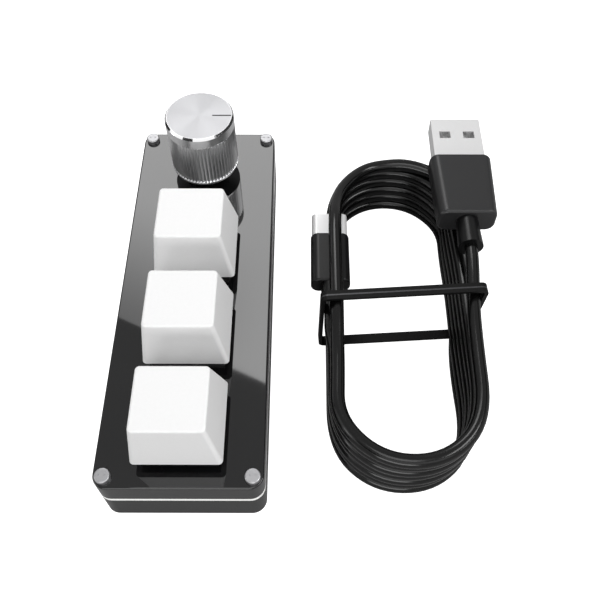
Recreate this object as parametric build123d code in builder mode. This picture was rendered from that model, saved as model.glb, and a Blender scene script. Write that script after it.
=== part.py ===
"""Macro keypad: three mechanical keys and a push knob in a two-shell case, with its unplugged lead.

Millimetres, +Z up. The origin is on the table under the middle of the case, and +Y runs from
the keys to the knob. The lead lies beside the case, on its +X side, wound in a tied hank.
"""

import os
from math import cos, pi, radians, sin, tan

from build123d import *

os.makedirs("parts", exist_ok=True)

# ---------------------------------------------------------------- case
case_width = 33.8
case_length = 95.8
case_corner = 3.0
wall = 2.0
floor_thickness = 1.6
plate_thickness = 1.5
foot_stand = 0.2
lower_height = 8.4
frame_height = 1.0
cover_height = 5.8
outer_edge = 0.35

shell_bottom = foot_stand
floor_top = shell_bottom + floor_thickness
shell_top = shell_bottom + lower_height
frame_top = shell_top + frame_height
cover_top = frame_top + cover_height
plate_bottom = cover_top - plate_thickness
cavity_width = case_width - 2 * wall
cavity_length = case_length - 2 * wall
cavity_corner = max(case_corner - wall, 0.5)

# ---------------------------------------------------------------- fasteners and feet
screw_inset_x = 2.2
screw_inset_y = 2.4
screw_diameter = 1.6
screw_clearance = 0.15
screw_grip = 3.5
head_diameter = 3.2
head_height = 1.1
head_edge = 0.3
pin_hole_diameter = 0.4
pin_hole_spacing = 1.2
pin_hole_depth = 0.12
insert_diameter = 2.5
insert_length = 4.0
pillar_radius = 2.3
screw_places = [
    (sx * (case_width / 2 - screw_inset_x), sy * (case_length / 2 - screw_inset_y))
    for sx in (-1, 1)
    for sy in (-1, 1)
]

foot_diameter = 6.0
foot_recess = 0.4
foot_inset = 5.5
foot_places = [
    (sx * (case_width / 2 - foot_inset), sy * (case_length / 2 - foot_inset - 1.5))
    for sx in (-1, 1)
    for sy in (-1, 1)
]

# ---------------------------------------------------------------- keys
key_pitch = 22.0
front_key_inset = 12.7
front_key_y = front_key_inset - case_length / 2
key_rows = [front_key_y + step * key_pitch for step in (2, 1, 0)]
key_travel = 3.2
key_clearance = 0.3

cutout_size = 14.0
switch_body = 13.9
switch_seat = 5.0
flange_size = 15.4
flange_thickness = 1.0
housing_rise = 6.6
housing_foot = 15.0
housing_top_width = 11.0
housing_top_depth = 10.4
housing_wall = 1.2
base_floor = 1.0
base_cavity = 11.6
stem_width = 6.8
stem_depth = 5.2
stem_gap = 0.2
stem_underside = 1.6
wing_length = 8.4
wing_depth = 4.0
wing_height = 1.3
wing_gap = 0.1
cross_span = 4.0
cross_thickness = 1.2
cross_height = 3.6
pole_diameter = 2.6
pole_reach = 4.6
tube_diameter = 4.0
tube_bore = 3.0
tube_height = 2.0
peg_diameter = 3.9
peg_length = 3.0
peg_floor = 1.0
spring_diameter = 4.8
spring_wire = 0.35
spring_turns = 4
contact_thickness = 0.3
contact_width = 2.4
contact_height = 4.3
pin_diameter = 1.0
pin_length = 3.3
pin_gap = 0.05
pin_places = [(-3.81, 2.54), (2.54, 5.08)]

cap_base = 18.1
cap_height = 13.8
cap_top_width = 14.1
cap_top_depth = 13.4
cap_lean = -1.6
cap_wall = 1.0
cap_roof = 1.8
cap_base_corner = 0.9
cap_top_corner = 0.9
cap_edge = 0.45
post_diameter = 5.3
post_fit = 0.05
cap_bottom = cover_top + key_clearance + key_travel
cap_top = cap_bottom + cap_height
housing_top = cover_top + housing_rise

# ---------------------------------------------------------------- circuit board
board_thickness = 1.6
board_gap = 0.25
board_top = cover_top - switch_seat
board_bottom = board_top - board_thickness
board_post_diameter = 4.0
board_post_inset = 4.25
knob_inset = 12.5
knob_y = case_length / 2 - knob_inset
board_post_places = [
    (sx * (case_width / 2 - board_post_inset), post_y)
    for sx in (-1, 1)
    for post_y in (front_key_y + key_pitch / 2, front_key_y + 3 * key_pitch / 2, knob_y)
]
socket_height = 1.8
socket_leg_size = (3.6, 6.0)
socket_leg_shift = (-0.39, 1.36)
socket_bar_size = (7.6, 3.6)
socket_bar_shift = (-1.14, 0)
light_width = 3.4
light_depth = 2.8
light_height = 1.6
light_offset = -5.08
chip_size = 7.0
chip_height = 0.9
small_part_size = (1.6, 0.9, 0.6)

port_width = 8.94
port_height = 3.16
port_wall = 0.3
port_length = 7.35
port_recess = 0.1
port_gap = 0.2
port_rear = case_length / 2 - port_recess
port_z = board_bottom - port_height / 2
tongue_width = 6.7
tongue_thickness = 0.7
tongue_length = 5.2

# ---------------------------------------------------------------- knob and encoder
knob_radius = 8.1
knob_height = 15.0
knob_lift = 3.3
knob_press = 0.5
rim_height = 0.45
knurl_count = 60
knurl_depth = 0.3
band_height = 2.3
groove_width = 0.25
groove_depth = 0.2
knob_bevel = 0.45
knob_bevel_height = 0.5
disc_inset = 0.05
disc_thickness = 0.6
pointer_start = 3.1
pointer_width = 0.4
pointer_depth = 0.25
pointer_margin = 0.05
neck_cover = 0.6
knob_bottom = cover_top + knob_lift
knob_top = knob_bottom + knob_height

encoder_size = 11.8
encoder_sink = 1.4
encoder_height = 4.1
encoder_floor = 0.8
encoder_plate = 0.7
clip_thickness = 0.4
clip_width = 4.0
clip_foot = 2.0
neck_diameter = 7.0
neck_height = 8.1
neck_hole_gap = 0.25
neck_gap = 1.5
shaft_diameter = 6.0
shaft_gap = 0.05
shaft_flat = 1.5
shaft_headroom = 1.3
shaft_flat_length = 8.5
drive_flat = 0.8
drive_spare = 0.2
rotor_diameter = 10.0
rotor_gap = 0.1
pocket_gap = 0.2
dome_diameter = 4.2
dome_height = 0.3
dome_gap = 0.6
grub_diameter = 3.0
grub_length = 4.2
grub_drop = 6.8

# ---------------------------------------------------------------- lead and plugs
cord_diameter = 3.0
hank_x = 45.9
hank_near_y = -28.0
hank_far_y = 20.75
hank_radius = 14.7
ring_layers = 5
hank_slack = 0.1
lead_gap = 0.05
upper_left_end = -20.0
upper_right_end = 19.0
tie_thickness = 0.8
tie_width = 2.3
tie_y = -4.9
tie_turn = 3.7
tie_lean = 7.0
tie_corner = 0.8
tie_clearance = 0.05
tie_wire_width = 0.35
tie_wire_thickness = 0.35
tie_left = 28.82
tie_right = 63.0
tie_top_left = 24.2
tie_top_right = 24.3
hank_bottom = tie_thickness + tie_clearance
ring_top = hank_bottom + ring_layers * cord_diameter
hank_top = ring_top + cord_diameter

plug_a_x = 62.0
plug_a_gap = 0.2
plug_a_width = 14.7
plug_a_taper = 1.3
plug_a_height = 7.0
plug_a_length = 18.0
plug_a_front = 12.9
plug_a_corner = 2.2
shell_a_width = 12.0
shell_a_height = 4.5
shell_a_wall = 0.3
shell_a_reach = 12.65
shell_a_root = 6.0
window_width = 2.7
window_length = 2.3
window_spacing = 5.8
window_setback = 5.3
insert_height = 1.9
insert_setback = 0.4
contact_a_width = 1.0
contact_a_pitch = 2.3
contact_a_thickness = 0.15
relief_a_length = 7.4
relief_a_root = 2.5
relief_a_end = 2.85

plug_c_x = 30.55
plug_c_width = 8.8
plug_c_height = 4.8
plug_c_length = 13.3
plug_c_front = -2.2
plug_c_corner = 1.9
plug_c_gap = 0.1
shell_c_width = 8.25
shell_c_height = 2.4
shell_c_wall = 0.25
shell_c_reach = 6.4
shell_c_root = 3.0
relief_c_length = 4.1
relief_c_root = 2.2
relief_c_end = 2.0

plug_a_z = hank_top + plug_a_gap + plug_a_height / 2
plug_c_z = ring_top + plug_c_gap + plug_c_height / 2


# ================================================================ case pieces
with BuildPart() as bottom_shell:
    with BuildSketch(Plane.XY.offset(shell_bottom)):
        RectangleRounded(case_width, case_length, case_corner)
    extrude(amount=floor_thickness)
    with BuildSketch(Plane.XY.offset(floor_top)):
        RectangleRounded(case_width, case_length, case_corner)
        RectangleRounded(cavity_width, cavity_length, cavity_corner, mode=Mode.SUBTRACT)
        with Locations(*screw_places):
            Circle(pillar_radius)
        RectangleRounded(case_width, case_length, case_corner, mode=Mode.INTERSECT)
    extrude(amount=shell_top - floor_top)
    with BuildSketch(Plane.XY.offset(floor_top)):
        with Locations(*board_post_places):
            Circle(board_post_diameter / 2)
    extrude(amount=board_bottom - floor_top)
    with BuildSketch(Plane.XY.offset(shell_top - insert_length)):
        with Locations(*screw_places):
            Circle(insert_diameter / 2)
    extrude(amount=insert_length, mode=Mode.SUBTRACT)
    with BuildSketch(Plane.XY.offset(shell_bottom)):
        with Locations(*foot_places):
            Circle(foot_diameter / 2)
    extrude(amount=foot_recess, mode=Mode.SUBTRACT)
    with BuildSketch(Plane.XZ.offset(-case_length / 2)):
        with Locations((0, port_z)):
            SlotOverall(port_width + 2 * port_gap, port_height + 2 * port_gap)
        with Locations((0, port_z + port_height / 2)):
            Rectangle(port_width - port_height, port_height + 2 * port_gap)
        with Locations((0, port_z + port_height)):
            Rectangle(port_width + 2 * port_gap, 2 * port_height)
    extrude(amount=2 * wall, mode=Mode.SUBTRACT)
    chamfer(bottom_shell.faces().sort_by(Axis.Z)[0].outer_wire().edges(), outer_edge)
bottom_shell.part.label = "bottom_shell"
export_step(bottom_shell.part, "parts/bottom_shell.step")

with BuildPart() as light_frame:
    with BuildSketch(Plane.XY.offset(shell_top)):
        RectangleRounded(case_width, case_length, case_corner)
        RectangleRounded(cavity_width, cavity_length, cavity_corner, mode=Mode.SUBTRACT)
        with Locations(*screw_places):
            Circle(pillar_radius)
        RectangleRounded(case_width, case_length, case_corner, mode=Mode.INTERSECT)
        with Locations(*screw_places):
            Circle(screw_diameter / 2 + screw_clearance, mode=Mode.SUBTRACT)
    extrude(amount=frame_height)
    with BuildSketch(Plane.XZ.offset(-case_length / 2)):
        with Locations((0, board_bottom - port_height / 2)):
            Rectangle(port_width + 2 * port_gap, port_height + 2 * port_gap)
    extrude(amount=2 * wall, mode=Mode.SUBTRACT)
light_frame.part.label = "light_frame"
export_step(light_frame.part, "parts/light_frame.step")

with BuildPart() as top_cover:
    with BuildSketch(Plane.XY.offset(frame_top)):
        RectangleRounded(case_width, case_length, case_corner)
    extrude(amount=cover_height)
    fillet(top_cover.faces().sort_by(Axis.Z)[-1].edges(), outer_edge)
    with BuildSketch(Plane.XY.offset(frame_top)):
        RectangleRounded(cavity_width, cavity_length, cavity_corner)
        with Locations(*screw_places):
            Circle(pillar_radius, mode=Mode.SUBTRACT)
    extrude(amount=plate_bottom - frame_top, mode=Mode.SUBTRACT)
    with BuildSketch(Plane.XY.offset(plate_bottom)):
        with Locations(*[(0, key_y) for key_y in key_rows]):
            Rectangle(cutout_size, cutout_size)
        with Locations((0, knob_y)):
            Circle(neck_diameter / 2 + neck_hole_gap)
    extrude(amount=plate_thickness, mode=Mode.SUBTRACT)
    with BuildSketch(Plane.XY.offset(frame_top)):
        with Locations(*screw_places):
            Circle(screw_diameter / 2 + screw_clearance)
    extrude(amount=cover_height, mode=Mode.SUBTRACT)
top_cover.part.label = "top_cover"
export_step(top_cover.part, "parts/top_cover.step")

with BuildPart() as case_screws:
    with BuildSketch(Plane.XY.offset(cover_top)):
        with Locations(*screw_places):
            Circle(head_diameter / 2)
    extrude(amount=head_height)
    fillet(case_screws.edges().group_by(Axis.Z)[-1], head_edge)
    with BuildSketch(Plane.XY.offset(shell_top - screw_grip)):
        with Locations(*screw_places):
            Circle(screw_diameter / 2)
    extrude(amount=cover_top - shell_top + screw_grip)
    with BuildSketch(Plane.XY.offset(cover_top + head_height - pin_hole_depth)):
        for screw_x, screw_y in screw_places:
            with Locations(
                (screw_x - pin_hole_spacing / 2, screw_y),
                (screw_x + pin_hole_spacing / 2, screw_y),
            ):
                Circle(pin_hole_diameter / 2)
    extrude(amount=pin_hole_depth, mode=Mode.SUBTRACT)
case_screws.part.label = "case_screws"
export_step(case_screws.part, "parts/case_screws.step")

with BuildPart() as case_inserts:
    with BuildSketch(Plane.XY.offset(shell_top - insert_length)):
        with Locations(*screw_places):
            Circle(insert_diameter / 2)
            Circle(screw_diameter / 2, mode=Mode.SUBTRACT)
    extrude(amount=insert_length)
case_inserts.part.label = "case_inserts"
export_step(case_inserts.part, "parts/case_inserts.step")

with BuildPart() as rubber_feet:
    with BuildSketch():
        with Locations(*foot_places):
            Circle(foot_diameter / 2)
    extrude(amount=foot_stand + foot_recess)
    chamfer(rubber_feet.edges().group_by(Axis.Z)[0], foot_stand / 3)
rubber_feet.part.label = "rubber_feet"
export_step(rubber_feet.part, "parts/rubber_feet.step")

# ================================================================ electronics
with BuildPart() as circuit_board:
    with BuildSketch(Plane.XY.offset(board_bottom)):
        RectangleRounded(cavity_width - 2 * board_gap, cavity_length - 2 * board_gap, cavity_corner)
        with Locations(*screw_places):
            Circle(pillar_radius + board_gap, mode=Mode.SUBTRACT)
        for key_y in key_rows:
            with Locations((0, key_y)):
                Circle(peg_diameter / 2 + pin_gap, mode=Mode.SUBTRACT)
            with Locations(*[(pin_x, key_y + pin_y) for pin_x, pin_y in pin_places]):
                Circle(pin_diameter / 2 + pin_gap, mode=Mode.SUBTRACT)
            with Locations((0, key_y + light_offset)):
                Rectangle(light_width - 1.0, light_depth - 1.0, mode=Mode.SUBTRACT)
        with Locations((0, knob_y)):
            Rectangle(encoder_size + 2 * board_gap, encoder_size + 2 * board_gap, mode=Mode.SUBTRACT)
    extrude(amount=board_thickness)
circuit_board.part.label = "circuit_board"
export_step(circuit_board.part, "parts/circuit_board.step")

with BuildPart() as switch_sockets:
    with BuildSketch(Plane.XY.offset(board_bottom - socket_height)):
        for key_y in key_rows:
            with Locations(
                (pin_places[0][0] + socket_leg_shift[0], key_y + pin_places[0][1] + socket_leg_shift[1])
            ):
                Rectangle(*socket_leg_size)
            with Locations(
                (pin_places[1][0] + socket_bar_shift[0], key_y + pin_places[1][1] + socket_bar_shift[1])
            ):
                Rectangle(*socket_bar_size)
            with Locations(*[(pin_x, key_y + pin_y) for pin_x, pin_y in pin_places]):
                Circle(pin_diameter / 2 + pin_gap, mode=Mode.SUBTRACT)
    extrude(amount=socket_height)
switch_sockets.part.label = "switch_sockets"
export_step(switch_sockets.part, "parts/switch_sockets.step")

with BuildPart() as key_lights:
    with BuildSketch(Plane.XY.offset(board_bottom - light_height)):
        with Locations(*[(0, key_y + light_offset) for key_y in key_rows]):
            Rectangle(light_width, light_depth)
    extrude(amount=light_height)
key_lights.part.label = "key_lights"
export_step(key_lights.part, "parts/key_lights.step")

chip_y = key_rows[1] + key_pitch / 2
with BuildPart() as controller_chip:
    with BuildSketch(Plane.XY.offset(board_bottom - chip_height)):
        with Locations((0, chip_y)):
            Rectangle(chip_size, chip_size)
    extrude(amount=chip_height)
    chamfer(controller_chip.edges().group_by(Axis.Z)[0], chip_height / 5)
controller_chip.part.label = "controller_chip"
export_step(controller_chip.part, "parts/controller_chip.step")

with BuildPart() as board_parts:
    with BuildSketch(Plane.XY.offset(board_bottom - small_part_size[2])):
        for side in (-1, 1):
            with Locations((side * chip_size, chip_y)):
                with GridLocations(small_part_size[0] * 2, small_part_size[1] * 2, 2, 4):
                    Rectangle(small_part_size[0], small_part_size[1])
    extrude(amount=small_part_size[2])
board_parts.part.label = "board_parts"
export_step(board_parts.part, "parts/board_parts.step")

with BuildPart() as usb_port_shell:
    with BuildSketch(Plane.XZ.offset(-port_rear)):
        with Locations((0, port_z)):
            SlotOverall(port_width, port_height)
    extrude(amount=port_length)
    with BuildSketch(Plane.XZ.offset(-port_rear)):
        with Locations((0, port_z)):
            SlotOverall(port_width - 2 * port_wall, port_height - 2 * port_wall)
    extrude(amount=port_length - port_wall, mode=Mode.SUBTRACT)
usb_port_shell.part.label = "usb_port_shell"
export_step(usb_port_shell.part, "parts/usb_port_shell.step")

with BuildPart() as usb_port_tongue:
    with BuildSketch(Plane.XZ.offset(-(port_rear - port_length + port_wall + tongue_length))):
        with Locations((0, port_z)):
            Rectangle(tongue_width, tongue_thickness)
    extrude(amount=tongue_length)
usb_port_tongue.part.label = "usb_port_tongue"
export_step(usb_port_tongue.part, "parts/usb_port_tongue.step")

# ================================================================ keys
# Each switch clips into the cover, so its heights are counted from the cover's top face.
for number, key_y in enumerate(key_rows, start=1):
    seat = Plane(origin=(0, key_y, cover_top))
    cavity_floor = base_floor - switch_seat

    with BuildPart() as switch_base:
        with BuildSketch(seat.offset(-switch_seat)):
            Rectangle(switch_body, switch_body)
        extrude(amount=switch_seat)
        with BuildSketch(seat):
            Rectangle(flange_size, flange_size)
        extrude(amount=flange_thickness)
        with BuildSketch(seat.offset(cavity_floor)):
            Rectangle(base_cavity, base_cavity)
        extrude(amount=flange_thickness - cavity_floor, mode=Mode.SUBTRACT)
        with BuildSketch(seat.offset(cavity_floor)):
            Circle(tube_diameter / 2)
        extrude(amount=tube_height)
        with BuildSketch(seat.offset(-switch_seat)):
            Circle(peg_diameter / 2)
        extrude(amount=-peg_length)
        with BuildSketch(seat.offset(peg_floor - switch_seat - peg_length)):
            Circle(tube_bore / 2)
        extrude(amount=peg_length - peg_floor + base_floor + tube_height, mode=Mode.SUBTRACT)
        with BuildSketch(seat.offset(-switch_seat)):
            with Locations(*pin_places):
                Circle(pin_diameter / 2 + pin_gap)
        extrude(amount=base_floor, mode=Mode.SUBTRACT)
    switch_base.part.label = f"switch_{number}_base"
    export_step(switch_base.part, f"parts/switch_{number}_base.step")

    with BuildPart() as switch_cover:
        with BuildSketch(seat.offset(flange_thickness)):
            Rectangle(housing_foot, housing_foot)
        with BuildSketch(seat.offset(housing_rise)):
            Rectangle(housing_top_width, housing_top_depth)
        loft()
        with BuildSketch(seat.offset(flange_thickness)):
            Rectangle(housing_foot - 2 * housing_wall, housing_foot - 2 * housing_wall)
        with BuildSketch(seat.offset(housing_rise - housing_wall)):
            Rectangle(housing_top_width - 1.5 * housing_wall, housing_top_depth - 1.5 * housing_wall)
        loft(mode=Mode.SUBTRACT)
        with BuildSketch(seat.offset(housing_rise - housing_wall)):
            Rectangle(stem_width + 2 * stem_gap, stem_depth + 2 * stem_gap)
        extrude(amount=housing_wall, mode=Mode.SUBTRACT)
    switch_cover.part.label = f"switch_{number}_cover"
    export_step(switch_cover.part, f"parts/switch_{number}_cover.step")

    with BuildPart() as switch_stem:
        with BuildSketch(seat.offset(stem_underside)):
            Rectangle(stem_width, stem_depth)
        extrude(amount=housing_rise - stem_underside)
        with BuildSketch(seat.offset(housing_rise - housing_wall - wing_gap)):
            Rectangle(wing_length, wing_depth)
        extrude(amount=-wing_height)
        with BuildSketch(seat.offset(housing_rise)):
            Rectangle(cross_span, cross_thickness)
            Rectangle(cross_thickness, cross_span)
        extrude(amount=cross_height)
        with BuildSketch(seat.offset(stem_underside)):
            Circle(pole_diameter / 2)
        extrude(amount=-pole_reach)
    switch_stem.part.label = f"switch_{number}_stem"
    export_step(switch_stem.part, f"parts/switch_{number}_stem.step")

    spring_length = stem_underside - cavity_floor - spring_wire
    spring_seat = seat.offset(cavity_floor + spring_wire / 2)
    with BuildPart() as switch_spring:
        with BuildLine(spring_seat) as coil:
            Helix(pitch=spring_length / spring_turns, height=spring_length, radius=spring_diameter / 2)
        with BuildSketch(Plane(origin=coil.line @ 0, z_dir=coil.line % 0)):
            Circle(spring_wire / 2)
        sweep(path=coil.line, is_frenet=True)
    switch_spring.part.label = f"switch_{number}_spring"
    export_step(switch_spring.part, f"parts/switch_{number}_spring.step")

    with BuildPart() as switch_contacts:
        with BuildSketch(seat.offset(cavity_floor)):
            with Locations(pin_places[0]):
                Rectangle(contact_thickness, contact_width)
            with Locations(pin_places[1]):
                Rectangle(contact_width, contact_thickness)
        extrude(amount=contact_height)
        with BuildSketch(seat.offset(cavity_floor)):
            with Locations(*pin_places):
                Circle(pin_diameter / 2)
        extrude(amount=-(base_floor + pin_length))
    switch_contacts.part.label = f"switch_{number}_contacts"
    export_step(switch_contacts.part, f"parts/switch_{number}_contacts.step")

    roof_bottom = cap_top - cap_roof
    roof_share = (roof_bottom - cap_bottom) / cap_height
    roof_width = cap_base + (cap_top_width - cap_base) * roof_share - 2.4 * cap_wall
    roof_depth = cap_base + (cap_top_depth - cap_base) * roof_share - 2.4 * cap_wall
    with BuildPart() as keycap:
        with BuildSketch(Plane(origin=(0, key_y, cap_bottom))):
            RectangleRounded(cap_base, cap_base, cap_base_corner)
        with BuildSketch(Plane(origin=(0, key_y + cap_lean, cap_top))):
            RectangleRounded(cap_top_width, cap_top_depth, cap_top_corner)
        loft()
        fillet(keycap.faces().sort_by(Axis.Z)[-1].edges(), cap_edge)
        with BuildSketch(Plane(origin=(0, key_y, cap_bottom))):
            Rectangle(cap_base - 2 * cap_wall, cap_base - 2 * cap_wall)
        with BuildSketch(Plane(origin=(0, key_y + cap_lean * roof_share, roof_bottom))):
            Rectangle(roof_width, roof_depth)
        loft(mode=Mode.SUBTRACT)
        with BuildSketch(Plane(origin=(0, key_y, housing_top))):
            Circle(post_diameter / 2)
        extrude(amount=roof_bottom - housing_top + cap_roof / 2)
        with BuildSketch(Plane(origin=(0, key_y, housing_top))):
            Rectangle(cross_span + 2 * post_fit, cross_thickness + 2 * post_fit)
            Rectangle(cross_thickness + 2 * post_fit, cross_span + 2 * post_fit)
        extrude(amount=cross_height + post_fit, mode=Mode.SUBTRACT)
    keycap.part.label = f"keycap_{number}"
    export_step(keycap.part, f"parts/keycap_{number}.step")

# ================================================================ encoder
# The body hangs in a cut-out of the board from its plate, whose two clips stand on the board.
encoder_bottom = board_top - encoder_sink
encoder_top = encoder_bottom + encoder_height
pocket_floor = encoder_bottom + encoder_floor
neck_bottom = encoder_top + encoder_plate
neck_top = neck_bottom + neck_height
dome_top = pocket_floor + dome_height
shaft_bottom = dome_top + dome_gap
shaft_top = knob_top - disc_thickness - shaft_headroom


def at_knob(height):
    """The level plane at this height, centred on the knob's axis."""
    return Plane(origin=(0, knob_y, height))


with BuildPart() as encoder_base:
    with BuildSketch(at_knob(encoder_bottom)):
        Rectangle(encoder_size, encoder_size)
    extrude(amount=encoder_height)
    with BuildSketch(at_knob(pocket_floor)):
        Circle(rotor_diameter / 2 + pocket_gap)
    extrude(amount=encoder_height - encoder_floor, mode=Mode.SUBTRACT)
encoder_base.part.label = "encoder_base"
export_step(encoder_base.part, "parts/encoder_base.step")

with BuildPart() as encoder_bushing:
    with BuildSketch(at_knob(encoder_top)):
        Rectangle(encoder_size, encoder_size + 2 * clip_thickness)
    extrude(amount=encoder_plate)
    with BuildSketch(at_knob(encoder_top)):
        with Locations((0, (encoder_size + clip_thickness) / 2), (0, -(encoder_size + clip_thickness) / 2)):
            Rectangle(clip_width, clip_thickness)
    extrude(amount=board_top - encoder_top)
    with BuildSketch(at_knob(board_top)):
        with Locations((0, (encoder_size + clip_foot) / 2), (0, -(encoder_size + clip_foot) / 2)):
            Rectangle(clip_width, clip_foot)
    extrude(amount=clip_thickness)
    with BuildSketch(at_knob(neck_bottom)):
        Circle(neck_diameter / 2)
    extrude(amount=neck_height)
    chamfer(encoder_bushing.edges().group_by(Axis.Z)[-1], 0.25)
    with BuildSketch(at_knob(encoder_top)):
        Circle(shaft_diameter / 2 + shaft_gap)
    extrude(amount=encoder_plate + neck_height, mode=Mode.SUBTRACT)
encoder_bushing.part.label = "encoder_bushing"
export_step(encoder_bushing.part, "parts/encoder_bushing.step")

with BuildPart() as encoder_rotor:
    with BuildSketch(at_knob(pocket_floor + rotor_gap)):
        Circle(rotor_diameter / 2)
        Circle(shaft_diameter / 2 + shaft_gap, mode=Mode.SUBTRACT)
    extrude(amount=encoder_height - encoder_floor - 2 * rotor_gap)
    with BuildSketch(at_knob(pocket_floor + rotor_gap)):
        Circle(shaft_diameter / 2 + 2 * shaft_gap)
        with Locations((0, -drive_flat + shaft_gap)):
            Rectangle(2 * shaft_diameter, shaft_diameter, mode=Mode.SUBTRACT)
        with Locations((0, -shaft_diameter)):
            Rectangle(2 * shaft_diameter, shaft_diameter, mode=Mode.SUBTRACT)
    extrude(amount=encoder_height - encoder_floor - 2 * rotor_gap)
encoder_rotor.part.label = "encoder_rotor"
export_step(encoder_rotor.part, "parts/encoder_rotor.step")

with BuildPart() as encoder_dome:
    with BuildSketch(at_knob(pocket_floor)):
        Circle(dome_diameter / 2)
    extrude(amount=dome_height)
    chamfer(encoder_dome.edges().group_by(Axis.Z)[-1], dome_height / 2)
encoder_dome.part.label = "encoder_dome"
export_step(encoder_dome.part, "parts/encoder_dome.step")

with BuildPart() as encoder_shaft:
    with BuildSketch(at_knob(shaft_bottom)):
        Circle(shaft_diameter / 2)
    extrude(amount=shaft_top - shaft_bottom)
    with BuildSketch(at_knob(shaft_top - shaft_flat_length)):
        with Locations((0, shaft_diameter - shaft_flat)):
            Rectangle(shaft_diameter, shaft_diameter)
    extrude(amount=shaft_flat_length, mode=Mode.SUBTRACT)
    with BuildSketch(at_knob(shaft_bottom)):
        with Locations((0, shaft_diameter - drive_flat)):
            Rectangle(shaft_diameter, shaft_diameter)
    extrude(amount=encoder_top + knob_press + drive_spare - shaft_bottom, mode=Mode.SUBTRACT)
encoder_shaft.part.label = "encoder_shaft"
export_step(encoder_shaft.part, "parts/encoder_shaft.step")

# ================================================================ knob
band_bottom = knob_top - knob_bevel_height - band_height
knurl_bottom = knob_bottom + rim_height
knurl_top = band_bottom - groove_width
cavity_top = neck_top + knob_press + neck_cover
grub_z = knob_top - grub_drop
grub_seat = shaft_diameter / 2 - shaft_flat
knurl_points = []
for step in range(2 * knurl_count):
    radius = knob_radius if step % 2 == 0 else knob_radius - knurl_depth
    knurl_points.append((radius * cos(pi * step / knurl_count), radius * sin(pi * step / knurl_count)))

with BuildPart() as knob_body:
    with BuildSketch(at_knob(knob_bottom)):
        Circle(knob_radius)
    extrude(amount=rim_height)
    with BuildSketch(at_knob(knurl_bottom)):
        with BuildLine():
            Polyline(*knurl_points, close=True)
        make_face()
    extrude(amount=knurl_top - knurl_bottom)
    with BuildSketch(at_knob(knurl_top)):
        Circle(knob_radius - groove_depth)
    extrude(amount=groove_width)
    with BuildSketch(at_knob(band_bottom)):
        Circle(knob_radius)
    extrude(amount=knob_top - band_bottom)
    chamfer(knob_body.edges().group_by(Axis.Z)[-1], knob_bevel_height, knob_bevel)
    with BuildSketch(at_knob(knob_top - disc_thickness)):
        Circle(knob_radius - knob_bevel - disc_inset)
    extrude(amount=disc_thickness, mode=Mode.SUBTRACT)
    with BuildSketch(at_knob(knob_bottom)):
        Circle(neck_diameter / 2 + neck_gap)
    extrude(amount=cavity_top - knob_bottom, mode=Mode.SUBTRACT)
    with BuildSketch(at_knob(cavity_top)):
        Circle(shaft_diameter / 2 + shaft_gap)
    extrude(amount=shaft_top - cavity_top + shaft_gap, mode=Mode.SUBTRACT)
    with BuildSketch(Plane.XZ.offset(-(knob_y + knob_radius))):
        with Locations((0, grub_z)):
            Circle(grub_diameter / 2)
    extrude(amount=knob_radius - grub_seat, mode=Mode.SUBTRACT)
knob_body.part.label = "knob_body"
export_step(knob_body.part, "parts/knob_body.step")

disc_radius = knob_radius - knob_bevel - disc_inset
pointer_end = disc_radius - pointer_margin
with BuildPart() as knob_disc:
    with BuildSketch(at_knob(knob_top - disc_thickness)):
        Circle(disc_radius)
    extrude(amount=disc_thickness)
    with BuildSketch(at_knob(knob_top - pointer_depth)):
        with Locations(((pointer_start + pointer_end) / 2, 0)):
            Rectangle(pointer_end - pointer_start, pointer_width)
    extrude(amount=pointer_depth, mode=Mode.SUBTRACT)
knob_disc.part.label = "knob_disc"
export_step(knob_disc.part, "parts/knob_disc.step")

with BuildPart() as knob_pointer:
    with BuildSketch(at_knob(knob_top - pointer_depth)):
        with Locations(((pointer_start + pointer_end) / 2, 0)):
            Rectangle(pointer_end - pointer_start, pointer_width)
    extrude(amount=pointer_depth)
knob_pointer.part.label = "knob_pointer"
export_step(knob_pointer.part, "parts/knob_pointer.step")

with BuildPart() as knob_set_screw:
    with BuildSketch(Plane.XZ.offset(-(knob_y + grub_seat + grub_length))):
        with Locations((0, grub_z)):
            Circle(grub_diameter / 2)
    extrude(amount=grub_length)
    with BuildSketch(Plane.XZ.offset(-(knob_y + grub_seat + grub_length))):
        with Locations((0, grub_z)):
            RegularPolygon(grub_diameter / 4, 6)
    extrude(amount=grub_length / 2, mode=Mode.SUBTRACT)
knob_set_screw.part.label = "knob_set_screw"
export_step(knob_set_screw.part, "parts/knob_set_screw.step")

# ================================================================ plug that goes to the computer
shell_a_tip = plug_a_front + plug_a_length + shell_a_reach
grip_a_rear = plug_a_front + plug_a_length

with BuildPart() as usb_a_shell:
    with BuildSketch(Plane.XZ.offset(-shell_a_tip)):
        with Locations((plug_a_x, plug_a_z)):
            Rectangle(shell_a_width, shell_a_height)
    extrude(amount=shell_a_reach + shell_a_root)
    with BuildSketch(Plane.XZ.offset(-shell_a_tip)):
        with Locations((plug_a_x, plug_a_z)):
            Rectangle(shell_a_width - 2 * shell_a_wall, shell_a_height - 2 * shell_a_wall)
    extrude(amount=shell_a_reach + shell_a_root, mode=Mode.SUBTRACT)
    with BuildSketch(Plane.XY.offset(plug_a_z - shell_a_height / 2)):
        for side in (-1, 1):
            with Locations((plug_a_x + side * window_spacing / 2, shell_a_tip - window_setback)):
                Rectangle(window_width, window_length)
    extrude(amount=shell_a_height, mode=Mode.SUBTRACT)
usb_a_shell.part.label = "usb_a_shell"
export_step(usb_a_shell.part, "parts/usb_a_shell.step")

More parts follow.
